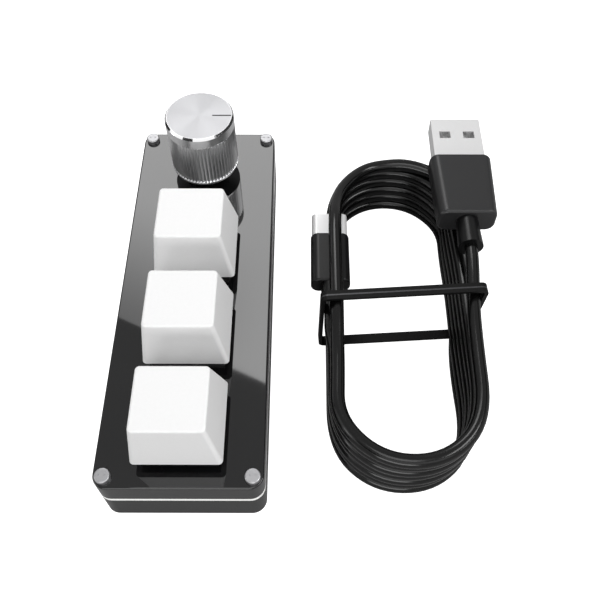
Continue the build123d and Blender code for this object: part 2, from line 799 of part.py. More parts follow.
insert_bottom = plug_a_z - shell_a_height / 2 + shell_a_wall
with BuildPart() as usb_a_insert:
    with BuildSketch(Plane.XZ.offset(-(shell_a_tip - insert_setback))):
        with Locations((plug_a_x, insert_bottom + insert_height / 2)):
            Rectangle(shell_a_width - 2 * shell_a_wall, insert_height)
    extrude(amount=shell_a_reach + shell_a_root - insert_setback)
usb_a_insert.part.label = "usb_a_insert"
export_step(usb_a_insert.part, "parts/usb_a_insert.step")

with BuildPart() as usb_a_contacts:
    with BuildSketch(Plane.XZ.offset(-(shell_a_tip - 3 * insert_setback))):
        for step in (-1.5, -0.5, 0.5, 1.5):
            with Locations(
                (plug_a_x + step * contact_a_pitch, insert_bottom + insert_height + contact_a_thickness / 2)
            ):
                Rectangle(contact_a_width, contact_a_thickness)
    extrude(amount=shell_a_reach - 3 * insert_setback)
usb_a_contacts.part.label = "usb_a_contacts"
export_step(usb_a_contacts.part, "parts/usb_a_contacts.step")

with BuildPart() as usb_a_grip:
    with BuildSketch(Plane.XZ.offset(-grip_a_rear)):
        with Locations((plug_a_x, plug_a_z)):
            RectangleRounded(plug_a_width, plug_a_height, plug_a_corner)
    with BuildSketch(Plane.XZ.offset(-plug_a_front)):
        with Locations((plug_a_x, plug_a_z)):
            RectangleRounded(plug_a_width - plug_a_taper, plug_a_height, plug_a_corner)
    loft()
    fillet(usb_a_grip.edges().group_by(Axis.Y)[-1], plug_a_corner / 3)
    fillet(usb_a_grip.edges().group_by(Axis.Y)[0], plug_a_corner / 3)
    with BuildSketch(Plane.XZ.offset(-grip_a_rear)):
        with Locations((plug_a_x, plug_a_z)):
            Rectangle(shell_a_width, shell_a_height)
    extrude(amount=shell_a_root, mode=Mode.SUBTRACT)
usb_a_grip.part.label = "usb_a_grip"
export_step(usb_a_grip.part, "parts/usb_a_grip.step")

with BuildPart() as usb_a_relief:
    with BuildSketch(Plane.XZ.offset(-plug_a_front)):
        with Locations((plug_a_x, plug_a_z)):
            Circle(relief_a_root)
    with BuildSketch(Plane.XZ.offset(-(plug_a_front - relief_a_length))):
        with Locations((plug_a_x, plug_a_z)):
            Circle(relief_a_end)
    loft()
usb_a_relief.part.label = "usb_a_relief"
export_step(usb_a_relief.part, "parts/usb_a_relief.step")

# ================================================================ plug that goes to the keypad
grip_c_rear = plug_c_front + plug_c_length
shell_c_tip = grip_c_rear + shell_c_reach

with BuildPart() as usb_c_shell:
    with BuildSketch(Plane.XZ.offset(-shell_c_tip)):
        with Locations((plug_c_x, plug_c_z)):
            SlotOverall(shell_c_width, shell_c_height)
    extrude(amount=shell_c_reach + shell_c_root)
    with BuildSketch(Plane.XZ.offset(-shell_c_tip)):
        with Locations((plug_c_x, plug_c_z)):
            SlotOverall(shell_c_width - 2 * shell_c_wall, shell_c_height - 2 * shell_c_wall)
    extrude(amount=shell_c_reach, mode=Mode.SUBTRACT)
usb_c_shell.part.label = "usb_c_shell"
export_step(usb_c_shell.part, "parts/usb_c_shell.step")

with BuildPart() as usb_c_contacts:
    with BuildSketch(Plane.XZ.offset(-(grip_c_rear + 0.8 * shell_c_reach))):
        for side in (-1, 1):
            with Locations((plug_c_x, plug_c_z + side * (shell_c_height / 2 - 1.6 * shell_c_wall))):
                Rectangle(0.8 * (shell_c_width - shell_c_height), shell_c_wall)
    extrude(amount=0.8 * shell_c_reach)
usb_c_contacts.part.label = "usb_c_contacts"
export_step(usb_c_contacts.part, "parts/usb_c_contacts.step")

with BuildPart() as usb_c_grip:
    with BuildSketch(Plane.XZ.offset(-grip_c_rear)):
        with Locations((plug_c_x, plug_c_z)):
            RectangleRounded(plug_c_width, plug_c_height, plug_c_corner)
    extrude(amount=plug_c_length)
    fillet(usb_c_grip.edges().group_by(Axis.Y)[-1], plug_c_corner / 4)
    fillet(usb_c_grip.edges().group_by(Axis.Y)[0], plug_c_corner / 4)
    with BuildSketch(Plane.XZ.offset(-grip_c_rear)):
        with Locations((plug_c_x, plug_c_z)):
            SlotOverall(shell_c_width, shell_c_height)
    extrude(amount=shell_c_root, mode=Mode.SUBTRACT)
usb_c_grip.part.label = "usb_c_grip"
export_step(usb_c_grip.part, "parts/usb_c_grip.step")

with BuildPart() as usb_c_relief:
    with BuildSketch(Plane.XZ.offset(-plug_c_front)):
        with Locations((plug_c_x, plug_c_z)):
            Circle(relief_c_root)
    with BuildSketch(Plane.XZ.offset(-(plug_c_front - relief_c_length))):
        with Locations((plug_c_x, plug_c_z)):
            Circle(relief_c_end)
    loft()
usb_c_relief.part.label = "usb_c_relief"
export_step(usb_c_relief.part, "parts/usb_c_relief.step")

# ================================================================ lead
# The hank is one closed solid of the turns' outer shape. Its upper layer is missing on the left
# run, where the small plug lies, and round the far bend.
hank_mid_y = (hank_near_y + hank_far_y) / 2
hank_span = hank_far_y - hank_near_y
hank_half = cord_diameter / 2 + hank_slack
left_x = hank_x - hank_radius
right_x = hank_x + hank_radius
with BuildPart() as cable_hank:
    with BuildSketch(Plane.XY.offset(hank_bottom)):
        with Locations((hank_x, hank_mid_y)):
            SlotCenterToCenter(hank_span, 2 * (hank_radius + hank_half), rotation=90)
            SlotCenterToCenter(hank_span, 2 * (hank_radius - hank_half), rotation=90, mode=Mode.SUBTRACT)
    extrude(amount=hank_top - hank_bottom)
    with BuildSketch(Plane.XY.offset(ring_top)):
        with Locations((left_x, upper_left_end)):
            Rectangle(hank_radius, hank_span, align=(Align.CENTER, Align.MIN))
        with Locations((hank_x, upper_right_end)):
            Rectangle(4 * hank_radius, hank_span, align=(Align.CENTER, Align.MIN))
    extrude(amount=cord_diameter, mode=Mode.SUBTRACT)
cable_hank.part.label = "cable_hank"
export_step(cable_hank.part, "parts/cable_hank.step")

# The first turn from the big plug lies on top of the hank and passes over the small plug. Past the
# far bend it dives outside the hank and enters it at the bottom. The last turn comes out of the
# upper layer to the small plug.
top_z = hank_top + lead_gap + cord_diameter / 2
over_plug_z = plug_c_z + plug_c_height / 2 + plug_c_gap + cord_diameter / 2
upper_z = ring_top + lead_gap + cord_diameter / 2
bend = hank_radius / cos(radians(22.5))
near_overhang = 1.3
end_grip = 0.5


def round_bend(centre_y, first_angle, heights):
    """Four corners of the route round one end of the hank, one for each height."""
    corners = []
    for step, height in enumerate(heights):
        angle = radians(first_angle - 45 * step)
        corners.append((hank_x + bend * cos(angle), centre_y + bend * sin(angle), height))
    return corners


route_a = [
    (plug_a_x, plug_a_front - relief_a_length, plug_a_z),
    (plug_a_x, 2.0, plug_a_z),
    (plug_a_x - 0.95, -8.5, top_z + 0.9),
    (right_x + 0.2, -18.0, top_z),
    *round_bend(hank_near_y - near_overhang, -22.5, [top_z, top_z, top_z, top_z]),
    (left_x + 0.4, -24.0, top_z + 0.1),
    (left_x + 0.4, -18.5, top_z + 0.35),
    (left_x + 0.45, -10.5, over_plug_z),
    (left_x + 0.45, 0.0, over_plug_z + 0.1),
    (left_x + 0.45, 6.0, over_plug_z + 0.1),
    (left_x + 0.45, 14.0, over_plug_z - 0.15),
    (left_x + 1.0, 20.9, upper_z + 2.8),
    (left_x + 2.9, 26.5, upper_z + 1.4),
    (left_x + 6.4, 31.5, upper_z + 0.45),
    (left_x + 11.2, 34.6, upper_z),
    (52.2, 35.0, upper_z + 0.4),
    (63.9, 28.3, 16.0),
    (64.0, 18.0, 11.0),
    (63.9, 9.5, 5.5),
    (63.2, 3.5, 3.0),
    (61.0, -3.0, hank_bottom + cord_diameter / 2 + 0.05),
]
route_c = [
    (plug_c_x, plug_c_front - relief_c_length, plug_c_z),
    (plug_c_x, -8.5, plug_c_z),
    (plug_c_x - 0.1, -13.5, upper_z + 0.4),
    (left_x, -17.5, upper_z),
    (left_x, upper_left_end - end_grip, upper_z),
]


def lead_radii(route):
    """Each corner's arc is as large as the two runs beside it allow."""
    points = [Vector(*point) for point in route]
    radii = []
    for before, corner, after in zip(points, points[1:], points[2:]):
        shorter = min((corner - before).length, (after - corner).length)
        turn = (corner - before).get_angle(after - corner)
        radii.append(0.45 * shorter / tan(radians(turn / 2)))
    return radii


for name, route in (("cable_lead_a", route_a), ("cable_lead_c", route_c)):
    radii = lead_radii(route)
    with BuildPart() as cable_lead:
        with BuildLine() as path:
            FilletPolyline(*route, radius=radii)
        with BuildSketch(Plane(origin=path.line @ 0, z_dir=path.line % 0)):
            Circle(cord_diameter / 2)
        sweep(path=path.line)
    run_length = path.wires()[0].length
    swept = cable_lead.part.volume / (run_length * pi * cord_diameter**2 / 4)
    print(
        f"{name} length {run_length:.1f} smallest bend {min(radii):.1f} swept share {swept:.3f}"
    )
    cable_lead.part.label = name
    export_step(cable_lead.part, f"parts/{name}.step")

# The tie is a strap round both runs, with a bare wire along its middle. It stands turned and
# leaning, and its flat runs stay level.
turn, lean = radians(tie_turn), radians(tie_lean)
across = (-sin(turn), cos(turn), 0)


def tie_side(width):
    """The upright plane of the tie's near side, for a strap as wide as this."""
    return Plane(
        origin=(hank_x - across[0] * width / 2, tie_y - across[1] * width / 2, 0),
        x_dir=(cos(turn), sin(turn), 0),
        z_dir=(sin(turn) * cos(lean), -cos(turn) * cos(lean), -sin(lean)),
    )


def tie_corners(grow):
    """The loop's corners on that plane, this much outside the strap's inner face."""
    return [
        ((corner_x - hank_x) / cos(turn), corner_z / cos(lean))
        for corner_x, corner_z in (
            (tie_left - grow, tie_thickness - grow),
            (tie_right + grow, tie_thickness - grow),
            (tie_right + grow, tie_top_right + grow),
            (tie_left - grow, tie_top_left + grow),
        )
    ]


wire_seat = tie_thickness - tie_wire_thickness
with BuildPart() as cable_tie:
    with BuildSketch(tie_side(tie_width)):
        with BuildLine():
            FilletPolyline(*tie_corners(tie_thickness), radius=tie_corner + tie_thickness, close=True)
        make_face()
        with BuildLine():
            FilletPolyline(*tie_corners(0), radius=tie_corner, close=True)
        make_face(mode=Mode.SUBTRACT)
    extrude(amount=tie_width, dir=across)
    with BuildSketch(tie_side(tie_wire_width)):
        with BuildLine():
            FilletPolyline(*tie_corners(tie_thickness), radius=tie_corner + tie_thickness, close=True)
        make_face()
        with BuildLine():
            FilletPolyline(*tie_corners(wire_seat), radius=tie_corner + wire_seat, close=True)
        make_face(mode=Mode.SUBTRACT)
    extrude(amount=tie_wire_width, dir=across, mode=Mode.SUBTRACT)
cable_tie.part.label = "cable_tie"
export_step(cable_tie.part, "parts/cable_tie.step")

with BuildPart() as tie_wire:
    with BuildSketch(tie_side(tie_wire_width)):
        with BuildLine():
            FilletPolyline(*tie_corners(tie_thickness), radius=tie_corner + tie_thickness, close=True)
        make_face()
        with BuildLine():
            FilletPolyline(*tie_corners(wire_seat), radius=tie_corner + wire_seat, close=True)
        make_face(mode=Mode.SUBTRACT)
    extrude(amount=tie_wire_width, dir=across)
tie_wire.part.label = "tie_wire"
export_step(tie_wire.part, "parts/tie_wire.step")
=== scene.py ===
# %% [markdown]
# # Macro keypad with a push knob, beside its tied lead
#
# The object is a small desk keypad. A black acrylic cover and a black moulded tray are screwed
# together over a pale frame that lets light out. Three keys with white caps stand on the cover,
# and behind them a turned aluminium knob. The lead is unplugged and lies beside the case, wound
# in a hank. The solids come from the CAD model, so this script adds what a solid lacks: finishes,
# the real run of the lead, and the light.

# %% Load the solids
from math import cos, pi, radians, sin

import bmesh
import bpy
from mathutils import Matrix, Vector


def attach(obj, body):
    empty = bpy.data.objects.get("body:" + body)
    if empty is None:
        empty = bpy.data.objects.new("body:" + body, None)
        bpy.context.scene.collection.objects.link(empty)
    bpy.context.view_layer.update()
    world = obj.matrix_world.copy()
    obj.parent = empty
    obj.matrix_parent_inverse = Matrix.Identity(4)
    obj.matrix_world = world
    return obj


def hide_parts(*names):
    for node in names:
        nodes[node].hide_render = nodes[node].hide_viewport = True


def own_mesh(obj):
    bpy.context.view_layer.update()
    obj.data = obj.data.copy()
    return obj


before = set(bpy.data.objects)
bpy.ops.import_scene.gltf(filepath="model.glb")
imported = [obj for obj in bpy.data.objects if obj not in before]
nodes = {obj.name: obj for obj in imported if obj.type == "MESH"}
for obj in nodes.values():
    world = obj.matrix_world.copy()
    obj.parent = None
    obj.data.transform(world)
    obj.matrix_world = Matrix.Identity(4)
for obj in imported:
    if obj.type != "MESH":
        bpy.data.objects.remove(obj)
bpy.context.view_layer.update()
MM = 0.001

# %% [markdown]
# ## Camera
#
# A product camera looks down on the keypad from the front at about 57 degrees. The lens is
# long enough that the case's sides converge only a little. A target empty is not needed: the
# camera's own two turns say everything.

# %% Camera
look_down = 56.97
camera_data = bpy.data.cameras.new("product_camera")
camera_data.sensor_width = 36.0
camera_data.lens = 45.65
camera_data.shift_x = -0.0057
camera = bpy.data.objects.new("product_camera", camera_data)
camera.location = (24.7 * MM, -97.5 * MM, 159.1 * MM)
camera.rotation_euler = (radians(90 - look_down), 0, radians(0.13))
bpy.context.scene.collection.objects.link(camera)
bpy.context.scene.camera = camera
print("camera looks down by", look_down, "degrees")

# %% [markdown]
# ## The lead
#
# The real lead is one flexible cord about 1.25 m long. It leaves the big plug, runs once over
# the top of the hank and over the small plug, then dives outside the far end to the bottom.
# From there it winds upwards: each turn climbs one layer on the right run, under the big plug.
# The last turn is the uppermost, and it comes out of the left run to the small plug. One smooth
# spline with a round bevel is the right tool: its length is real, and no bend shows a joint.

# %% The hank's sizes, in millimetres
cord_diameter = 3.0
hank_x, hank_near_y, hank_far_y = 45.9, -28.0, 20.75
hank_radius = 14.7
hank_layers = 6
hank_bottom = 0.95
hank_top = hank_bottom + hank_layers * cord_diameter
left_x, right_x = hank_x - hank_radius, hank_x + hank_radius
print("the hank's top is", round(hank_top, 2), "mm above the table")

# %% What lies on the hank: one strand and the two plugs, with small gaps between them
strand_gap, grip_a_gap, grip_c_gap = 0.05, 0.2, 0.1
grip_a_height, grip_c_height = 7.0, 4.8
top_z = hank_top + strand_gap + cord_diameter / 2
upper_z = top_z - cord_diameter
near_overhang = 1.45
plug_a_x, plug_a_z = 62.0, hank_top + grip_a_gap + grip_a_height / 2
relief_a_end = 5.5
plug_c_x, plug_c_z = 30.55, hank_top - cord_diameter + grip_c_gap + grip_c_height / 2
over_plug_z = plug_c_z + grip_c_height / 2 + grip_c_gap + cord_diameter / 2
print("the plugs' middles are", round(plug_a_z, 2), "and", round(plug_c_z, 2), "mm up")

# %% The hank's two round ends
corner_angle, corners_per_end = 45, 4
near_end_start, far_end_start = -corner_angle / 2, 180 - corner_angle / 2


def hank_end(centre_y, start_angle, height, swell=0.0):
    """The route's corners round one end of the hank, clockwise as seen from above."""
    reach = (hank_radius + swell) / cos(radians(corner_angle / 2))
    corners = []
    for step in range(corners_per_end):
        angle = radians(start_angle - corner_angle * step)
        corners.append((hank_x + reach * cos(angle), centre_y + reach * sin(angle), height))
    return corners


print("each end of a turn has", corners_per_end, "corners")

# %% The strand over the hank, from the big plug down to the bottom layer
route = [
    # Out of the big plug and down on to the hank.
    (plug_a_x, relief_a_end, plug_a_z),
    (plug_a_x, 2.0, plug_a_z),
    (plug_a_x - 0.95, -8.5, top_z + 0.9),
    (right_x + 0.2, -18.0, top_z),
    *hank_end(hank_near_y - near_overhang, near_end_start, top_z),
    # Up the left run and over the small plug.
    (left_x + 0.4, -24.0, top_z + 0.1),
    (left_x + 0.4, -18.5, top_z + 0.35),
    (left_x + 0.45, -10.5, over_plug_z),
    (left_x + 0.45, 0.0, over_plug_z + 0.1),
    (left_x + 0.45, 6.0, over_plug_z + 0.1),
    (left_x + 0.45, 14.0, over_plug_z - 0.15),
    # Round the far end, sinking to the height of the upper layer.
    (left_x + 1.0, 20.9, upper_z + 2.8),
    (left_x + 2.9, 26.5, upper_z + 1.4),
    (left_x + 6.4, 31.5, upper_z + 0.45),
    (left_x + 11.2, 34.6, upper_z),
    (52.2, 35.0, upper_z + 0.4),
    # Outside the far end and down to the bottom layer.
    (63.9, 28.3, 16.0),
    (64.0, 18.0, 11.0),
    (63.9, 9.5, 5.5),
    (63.2, 3.5, 3.0),
    (61.0, -3.0, 2.45),
]
print("the strand over the hank has", len(route), "points")

# %% The hank's turns, from the bottom layer up to the small plug
# The turns are not quite alike, because nothing ties the two round ends.
swells = [0.1, -0.1, 0.15, -0.05, 0.12, -0.1]
lowest_near_shift, near_shift_per_layer = 0.15, 0.22
lowest_lean, lean_per_layer = 1.0, 0.2
for layer in range(hank_layers):
    level = hank_bottom + (layer + 0.5) * cord_diameter
    swell = swells[layer]
    near_y = hank_near_y + lowest_near_shift - near_shift_per_layer * layer
    lean = lowest_lean - lean_per_layer * layer
    route.append((right_x - lean, -14.0, level))
    route += hank_end(near_y, near_end_start, level, swell)
    if layer < hank_layers - 1:
        route += [(left_x, -16.0, level), (left_x, 8.0, level)]
        route += hank_end(hank_far_y, far_end_start, level, -swell)
        route += [
            (right_x - lean / 3, 16.0, level),
            (right_x - lean / 2, 3.0, level + cord_diameter),
        ]
# Out of the uppermost turn to the small plug.
route += [
    (left_x, -21.0, upper_z),
    (left_x, -17.5, upper_z),
    (plug_c_x - 0.1, -13.5, upper_z + 0.4),
    (plug_c_x, -8.5, plug_c_z),
    (plug_c_x, -6.3, plug_c_z),
]
print("the lead has", len(route), "points")

# %% Draw the lead as one spline
lead_curve = bpy.data.curves.new("lead", "CURVE")
lead_curve.dimensions = "3D"
# The bevel is one metre, and each point's radius brings it down to the cord's. So the curve's box
# is the cord's true box.
lead_curve.bevel_depth = 1.0
lead_curve.bevel_resolution = 5
lead_curve.use_fill_caps = True
spline = lead_curve.splines.new("NURBS")
spline.points.add(len(route) - 1)
for point, place in zip(spline.points, route):
    point.co = (*[value * MM for value in place], 1.0)
    point.radius = cord_diameter / 2 * MM
spline.order_u = 3
spline.use_endpoint_u = True
spline.resolution_u = 8
lead = bpy.data.objects.new("lead", lead_curve)
bpy.context.scene.collection.objects.link(lead)
print("the lead's spline is", round(spline.calc_length() / MM, 1), "mm long")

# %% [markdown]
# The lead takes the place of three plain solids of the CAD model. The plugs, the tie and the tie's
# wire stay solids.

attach(lead, "case")
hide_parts("cable_hank", "cable_lead_a", "cable_lead_c")

# %% [markdown]
# ## Springs
#
# Each key stands on a coil spring, and each spring gets a mesh of its own.

# %% Each key spring gets a mesh of its own
for n in (1, 2, 3):
    spring = nodes[f"switch_{n}_spring"]
    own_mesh(spring)

# %% [markdown]
# ## Finishes
#
# Every colour below is written as it looks on a screen and turned to linear light by one
# function. A second small function adds one node with its settings and its links, so that a
# material reads as a list of what it is made of. Patterns read Object coordinates, which are
# metres on the solid itself, so they keep their real size and move with their piece.

# %% Helpers for colours and nodes


def linear(hex_colour):
    """A screen colour such as #2f2f2f as linear light with full opacity."""
    light = []
    for start in (1, 3, 5):
        value = int(hex_colour[start:start + 2], 16) / 255
        light.append(value / 12.92 if value <= 0.04045 else ((value + 0.055) / 1.055) ** 2.4)
    return (*light, 1.0)


def add_node(tree, kind, values=None, links=None, **settings):
    """Adds one node, sets its properties and sockets, and links its inputs."""
    node = tree.nodes.new(kind)
    for name, value in settings.items():
        setattr(node, name, value)
    for socket, value in (values or {}).items():
        node.inputs[socket].default_value = value
    for socket, source in (links or {}).items():
        tree.links.new(source, node.inputs[socket])
    return node


print("a screen's #808080 is", round(linear("#808080")[0], 3), "of white's light")

# %% Helpers for finishes


def new_finish(name, values):
    """A new finish with these values on its surface shader: itself, its tree and the shader."""
    material = bpy.data.materials.new(name)
    material.use_nodes = True
    tree = material.node_tree
    surface = tree.nodes["Principled BSDF"]
    for socket, value in values.items():
        surface.inputs[socket].default_value = value
    return material, tree, surface


def put_on(material, *names):
    """Gives the named solids this finish."""
    for name in names:
        mesh = nodes[name].data
        mesh.materials.clear()
        mesh.materials.append(material)
    print(material.name, "on", len(names), "solids")


# %% [markdown]
# ### The cover
#
# The cover is cast acrylic, black all through and polished. To the eye it is a dark mirror: its
# own colour hardly shows, and it looks like what it reflects. Casting leaves it flat, so it needs
# no relief. Only the faint smears of fingers change its polish. A smear is about 17 mm wide, which
# is 0.06 patches in a millimetre. The real cover mirrors more than bare acrylic with its IOR of
# 1.49, so the value is higher.

# %% Cast acrylic
cover_finish, tree, surface = new_finish(
    "cast_acrylic_black", {"Base Color": linear("#0d0d0e"), "IOR": 1.7}
)
place = add_node(tree, "ShaderNodeTexCoord").outputs["Object"]
smears = add_node(
    tree, "ShaderNodeTexNoise", {"Scale": 0.06 / MM, "Detail": 3.0}, {"Vector": place}
)
polish = add_node(
    tree, "ShaderNodeMapRange",
    {"From Min": 0.35, "From Max": 0.75, "To Min": 0.02, "To Max": 0.05},
    {"Value": smears.outputs["Fac"]},
)
tree.links.new(polish.outputs["Result"], surface.inputs["Roughness"])
put_on(cover_finish, "top_cover")

# %% [markdown]
# ### The tray
#
# The tray is moulded ABS. The mould's fine grain softens its gloss, so it mirrors only broad soft
# shapes. The grain could be modelled, but a bump that only tilts the light looks the same and
# weighs nothing. Many pieces below need such a relief with one colour, so one function makes the
# whole finish. Real grain is about 0.1 mm wide, too fine to show, so it is drawn at 0.4 mm.

# %% Moulded ABS


def grained_finish(name, hex_colour, values, members, grains_per_mm, strength, depth, detail=2.0):
    """A finish of one colour with a fine relief, its depth in millimetres, put on its pieces."""
    material, tree, surface = new_finish(name, {"Base Color": linear(hex_colour), **values})
    place = add_node(tree, "ShaderNodeTexCoord").outputs["Object"]
    grain = add_node(
        tree, "ShaderNodeTexNoise",
        {"Scale": grains_per_mm / MM, "Detail": detail},
        {"Vector": place},
    )
    relief = add_node(
        tree, "ShaderNodeBump",
        {"Strength": strength, "Distance": depth * MM},
        {"Height": grain.outputs["Fac"]},
    )
    tree.links.new(relief.outputs["Normal"], surface.inputs["Normal"])
    put_on(material, *members)
    return material


grained_finish(
    "moulded_abs_black", "#121213", {"IOR": 1.5, "Roughness": 0.22}, ["bottom_shell"],
    grains_per_mm=2.5, strength=0.1, depth=0.05,
)

# %% [markdown]
# ### The light frame
#
# The frame is opal acrylic, cloudy inside, and the board's lights reach it. To the eye it is a
# pale line that is a little brighter than the light on it. Light could be scattered inside the
# sheet, but only a line 1 mm high shows, so a weak glow and two whites in clouds about 2.5 mm wide
# give the same look in less time.

# %% Opal acrylic
frame_finish, tree, surface = new_finish(
    "opal_acrylic",
    {
        "IOR": 1.49,
        "Roughness": 0.35,
        "Emission Color": linear("#ffffff"),
        "Emission Strength": 0.25,
    },
)
place = add_node(tree, "ShaderNodeTexCoord").outputs["Object"]
cloud = add_node(tree, "ShaderNodeTexNoise", {"Scale": 0.4 / MM, "Detail": 2.0}, {"Vector": place})
tint = add_node(
    tree, "ShaderNodeMix",
    {"A": linear("#fbfbf8"), "B": linear("#f1f1ee")},
    {"Factor": cloud.outputs["Fac"]},
    data_type="RGBA",
)
tree.links.new(tint.outputs["Result"], surface.inputs["Base Color"])
put_on(frame_finish, "light_frame")

# %% [markdown]
# ### The keycaps
#
# The caps are moulded PBT. The mould is blasted with grit, which leaves a fine even grain, so the
# white looks chalky and has no shine. Grit is about 0.1 mm wide, too fine to show, so the grain is
# drawn at 0.55 mm. It tilts the light, and it also varies the white very slightly.

# %% Moulded PBT
cap_finish, tree, surface = new_finish("moulded_pbt_white", {"IOR": 1.57, "Roughness": 0.5})
place = add_node(tree, "ShaderNodeTexCoord").outputs["Object"]
grain = add_node(tree, "ShaderNodeTexNoise", {"Scale": 1.8 / MM, "Detail": 3.0}, {"Vector": place})
tint = add_node(
    tree, "ShaderNodeMix",
    {"A": linear("#f8f8f8"), "B": linear("#f3f3f3")},
    {"Factor": grain.outputs["Fac"]},
    data_type="RGBA",
)
relief = add_node(
    tree, "ShaderNodeBump",
    {"Strength": 0.15, "Distance": 0.04 * MM},
    {"Height": grain.outputs["Fac"]},
)
tree.links.new(tint.outputs["Result"], surface.inputs["Base Color"])
tree.links.new(relief.outputs["Normal"], surface.inputs["Normal"])
put_on(cap_finish, "keycap_1", "keycap_2", "keycap_3")

# %% [markdown]
# ### Small moulded parts
#
# Most of these hide in the case and show only when a key goes down or the model is taken apart.
# Each has the colour and gloss that its kind usually has. They share the grain of a mould, about
# 0.1 mm wide, which is drawn at 0.5 mm because the real one is too fine to show.

# %% Small moulded parts: name, colour, roughness and pieces
moulded_parts = [
    # Moulded nylon: black with a soft sheen.
    ("switch_housing_nylon", "#1a1a1b", 0.3,
     [f"switch_{n}_{piece}" for n in (1, 2, 3) for piece in ("base", "cover")]),
    # Moulded POM: a waxy red.
    ("stem_pom_red", "#a8231f", 0.35, [f"switch_{n}_stem" for n in (1, 2, 3)]),
    # Moulded epoxy: nearly black and dull.
    ("chip_epoxy", "#1c1c1c", 0.5,
     ["controller_chip", "switch_sockets", "encoder_base", "usb_port_tongue"]),
    # Moulded white nylon: pale, with a slight shine.
    ("light_body_white", "#e9e9e4", 0.4, ["key_lights", "encoder_rotor"]),
    # Moulded PBT: a cool pale grey.
    ("plug_insert_grey", "#e0e0e0", 0.4, ["usb_a_insert"]),
    # Moulded rubber: black without shine.
    ("foot_rubber", "#151515", 0.8, ["rubber_feet"]),
    # Lacquered glass fibre: a deep green with a soft shine.
    ("board_mask_green", "#12432a", 0.35, ["circuit_board"]),
    # Fired ceramic: a dull tan.
    ("ceramic_tan", "#8f7a5f", 0.5, ["board_parts"]),
    # Lacquer in a milled groove: black with a slight shine.
    ("pointer_lacquer", "#0a0a0a", 0.4, ["knob_pointer"]),
]
for name, colour, roughness, members in moulded_parts:
    grained_finish(
        name, colour, {"Roughness": roughness}, members,
        grains_per_mm=2.0, strength=0.12, depth=0.04,
    )

# %% [markdown]
# ### Small metal parts
#
# Rolling, drawing and plating all leave a faint haze on metal, in patches about 1 mm wide. It
# breaks up the edge of each reflection, so that the metal doesn't look like glass. A metal tints
# what it mirrors, so steel, nickel, brass and gold differ mainly in their colour.

# %% Small metal parts: name, colour, metallic, roughness and pieces
metal_parts = [
    # Tumbled steel: pale, with soft reflections.
    ("satin_steel", "#bcbcbe", 1.0, 0.42, ["case_screws", "knob_set_screw"]),
    # Drawn steel: brighter, with blurred reflections.
    ("drawn_steel", "#c8c8ca", 1.0, 0.3,
     ["switch_1_spring", "switch_2_spring", "switch_3_spring",
      "encoder_dome", "encoder_shaft", "encoder_bushing"]),
    # Tinned wire, dulled by the air: a dark grey.
    ("tinned_wire", "#59595b", 1.0, 0.4, ["tie_wire"]),
    # Nickel plated on polished sheet: nearly a mirror.
    ("nickel_plate", "#e6e6e6", 1.0, 0.18, ["usb_port_shell", "usb_a_contacts"]),
    # Turned brass: yellow, with the tool's soft shine.
    ("turned_brass", "#c9a55a", 1.0, 0.3, ["case_inserts"]),
    # Gold plated thinly: a warmer yellow, smooth.
    ("gold_plate", "#d9b56a", 1.0, 0.25,
     ["usb_c_contacts", "switch_1_contacts", "switch_2_contacts", "switch_3_contacts"]),
    # Nickel plated on a blasted shell: satin, so part of its light is spread and it stays pale.
    ("satin_nickel", "#eeeeee", 0.45, 0.38, ["usb_a_shell", "usb_c_shell"]),
]
for name, colour, metallic, roughness, members in metal_parts:
    grained_finish(
        name, colour, {"Metallic": metallic, "Roughness": roughness}, members,
        grains_per_mm=0.9, strength=0.08, depth=0.03, detail=3.0,
    )

# %% [markdown]
# ### The knob's body
#
# The knob is turned from aluminium. Its skirt keeps the dull shine of the tool, but the chamfer
# round its rim is cut with a diamond and mirrors sharply. The chamfer could have a material of its
# own, but the body is one solid, so the slope of its surface tells the two apart. That slope stays
# the same while the knob turns.

# %% Turned aluminium
rim_slope, slope_margin = 0.7, 0.2
turned_roughness, diamond_roughness = 0.3, 0.05
knob_finish, tree, surface = new_finish(
    "turned_aluminium", {"Base Color": linear("#f0f0f1"), "Metallic": 0.95}
)
facing = add_node(tree, "ShaderNodeNewGeometry")
slope = add_node(tree, "ShaderNodeSeparateXYZ", None, {"Vector": facing.outputs["True Normal"]})
on_rim = add_node(
    tree, "ShaderNodeMath", {1: rim_slope, 2: slope_margin}, {0: slope.outputs["Z"]},
    operation="COMPARE",
)
cut = add_node(
    tree, "ShaderNodeMapRange",
    {"To Min": turned_roughness, "To Max": diamond_roughness},
    {"Value": on_rim.outputs["Value"]},
)
tree.links.new(cut.outputs["Result"], surface.inputs["Roughness"])
put_on(knob_finish, "knob_body")

# %% [markdown]
# ### The knob's disc
#
# The disc on top is spun aluminium: a tool drew fine rings round its middle. The rings spread the
# light across them and not along them, which gives the eye bright and dark rays. The rings are far
# too fine to model, and the shader's anisotropy, turned round the knob's axis, does the same.

# %% Spun aluminium
disc_finish, tree, surface = new_finish(
    "spun_aluminium",
    {"Base Color": linear("#a6a6a8"), "Metallic": 1.0, "Roughness": 0.35, "Anisotropic": 0.8},
)
spin = add_node(tree, "ShaderNodeTangent", direction_type="RADIAL", axis="Z")
tree.links.new(spin.outputs["Tangent"], surface.inputs["Tangent"])
put_on(disc_finish, "knob_disc")

# %% [markdown]
# ### The lead's skin, its plugs and its tie
#
# The skin is extruded PVC, smooth and shiny. The die leaves ripples about 0.8 mm long, which break
# up the long highlight a little. The plugs' grips are moulded TPE, a soft rubber whose grain
# spreads the gloss: 0.1 mm wide, but drawn at 0.45 mm to show at all. The tie is a flat strip of
# PVC, so matt that it looks darker than the rest.

